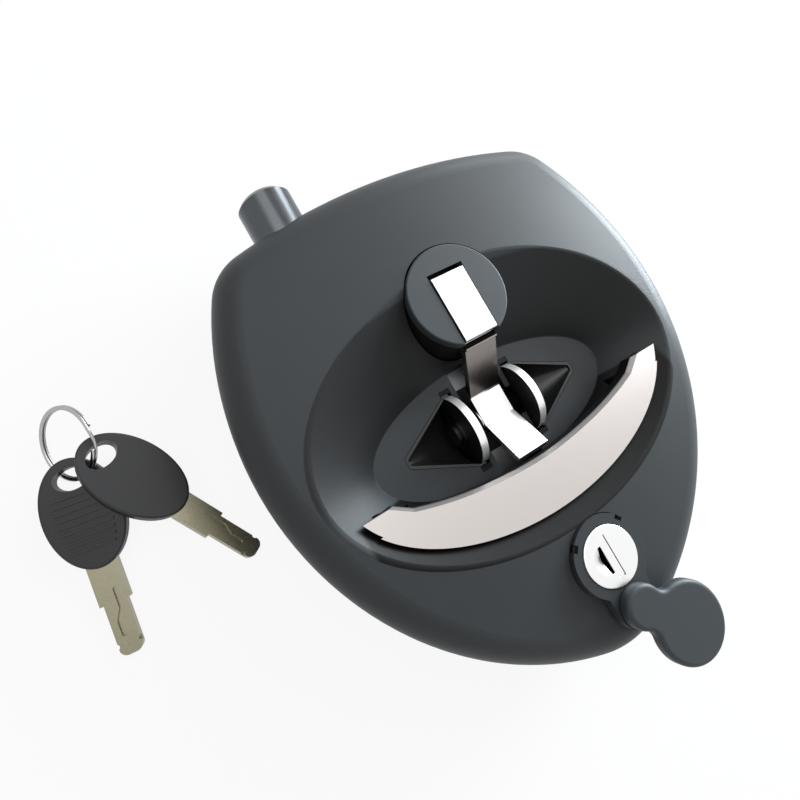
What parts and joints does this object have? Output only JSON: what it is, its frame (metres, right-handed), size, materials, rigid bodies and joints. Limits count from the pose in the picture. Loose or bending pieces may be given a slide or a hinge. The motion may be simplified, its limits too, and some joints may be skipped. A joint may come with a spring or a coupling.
{
  "type": "compartment lock",
  "caption": "Flush compartment lock with a dished case, pull handle, push button, spring bolt, keyed cylinder with a swing cover, and loose keys on a ring.",
  "frame": {"origin": "on the flat back face, under the middle of the finger dish", "axes": "+Z out of the door towards the hand, +Y towards the end that the bolt leaves, +X to the right seen from the front"},
  "size_m": [0.1601, 0.1421, 0.0313],
  "materials": {
    "case_plastic": "satin moulded",
    "plate_steel": "zinc plated",
    "screw_steel": "zinc plated",
    "cup_black": "glossy",
    "bright_steel": "bright plated",
    "button_plastic": "satin moulded",
    "button_black": "moulded",
    "spring_steel": "drawn wire",
    "handle_black": "moulded",
    "satin_metal": "satin plated",
    "bolt_steel": "polished dark",
    "guide_plastic": "moulded",
    "cylinder_metal": "turned",
    "face_metal": "satin plated",
    "collar_plastic": "satin moulded",
    "cover_plastic": "satin moulded",
    "head_plastic": "moulded",
    "blade_metal": "nickel plated",
    "ring_steel": "drawn wire"
  },
  "bodies": {
    "case": {"front_shell": "case_plastic", "back_plate": "plate_steel", "case_screws": "screw_steel", "pocket_cups": "cup_black", "rocker_bracket": "bright_steel", "bracket_rivets": "screw_steel", "pin_bushes": "bright_steel", "rocker_pin": "bright_steel", "button_spring": "spring_steel", "handle_pins": "screw_steel", "handle_spring_left": "spring_steel", "handle_spring_right": "spring_steel", "bolt_guide": "guide_plastic", "guide_screws": "screw_steel", "cylinder_barrel": "cylinder_metal", "barrel_nut": "cylinder_metal", "cylinder_collar": "collar_plastic", "cover_pin": "screw_steel"},
    "handle": {"pull_handle": "handle_black", "handle_trim": "satin_metal"},
    "bolt": {"latch_bolt": "bolt_steel", "draw_bar": "plate_steel", "bar_screw": "screw_steel"},
    "button": {"button_cap": "button_plastic", "button_plunger": "button_black"},
    "rocker": {"rocker_lever": "bright_steel"},
    "plug": {"key_plug": "face_metal", "lock_cam": "plate_steel", "cam_screw": "screw_steel"},
    "cover": {"dust_cover": "cover_plastic"},
    "keys": {"key_head_low": "head_plastic", "key_blade_low": "blade_metal", "key_head_high": "head_plastic", "key_blade_high": "blade_metal", "key_ring": "ring_steel"}
  },
  "joints": [
    {"name": "handle_swing", "type": "hinge", "parent": "case", "child": "handle", "pos_m": [0, -0.008, 0.0216], "axis": [-1, 0, 0], "range_deg": [0, 34]},
    {"name": "bolt_slide", "type": "slide", "parent": "case", "child": "bolt", "axis": [0, -1, 0], "range_m": [0, 0.0094], "stiffness_N_per_m": 120, "springref_m": -0.012},
    {"name": "button_press", "type": "slide", "parent": "case", "child": "button", "axis": [0, 0, -1], "range_m": [0, 0.0028], "stiffness_N_per_m": 600, "springref_m": -0.004, "deforming": ["button_spring"]},
    {"name": "rocker_tilt", "type": "hinge", "parent": "case", "child": "rocker", "pos_m": [0, 0, 0.0119], "axis": [-1, 0, 0], "range_deg": [0, 6.05]},
    {"name": "plug_turn", "type": "hinge", "parent": "case", "child": "plug", "pos_m": [0, -0.0399, 0], "axis": [0, 0, 1], "range_deg": [0, 90]},
    {"name": "cover_swing", "type": "hinge", "parent": "case", "child": "cover", "pos_m": [-0.0003, -0.052, 0], "axis": [0, 0, 1], "range_deg": [0, 139]},
    {"name": "keys_lift", "type": "slide", "parent": "case", "child": "keys", "axis": [0, 0, 1], "range_m": [0, 0.03]}
  ],
  "couplings": [
    {"joint": "handle_swing", "follows": "bolt_slide", "rad_per_m": 63.05},
    {"joint": "rocker_tilt", "follows": "button_press", "rad_per_m": 37.4}
  ]
}
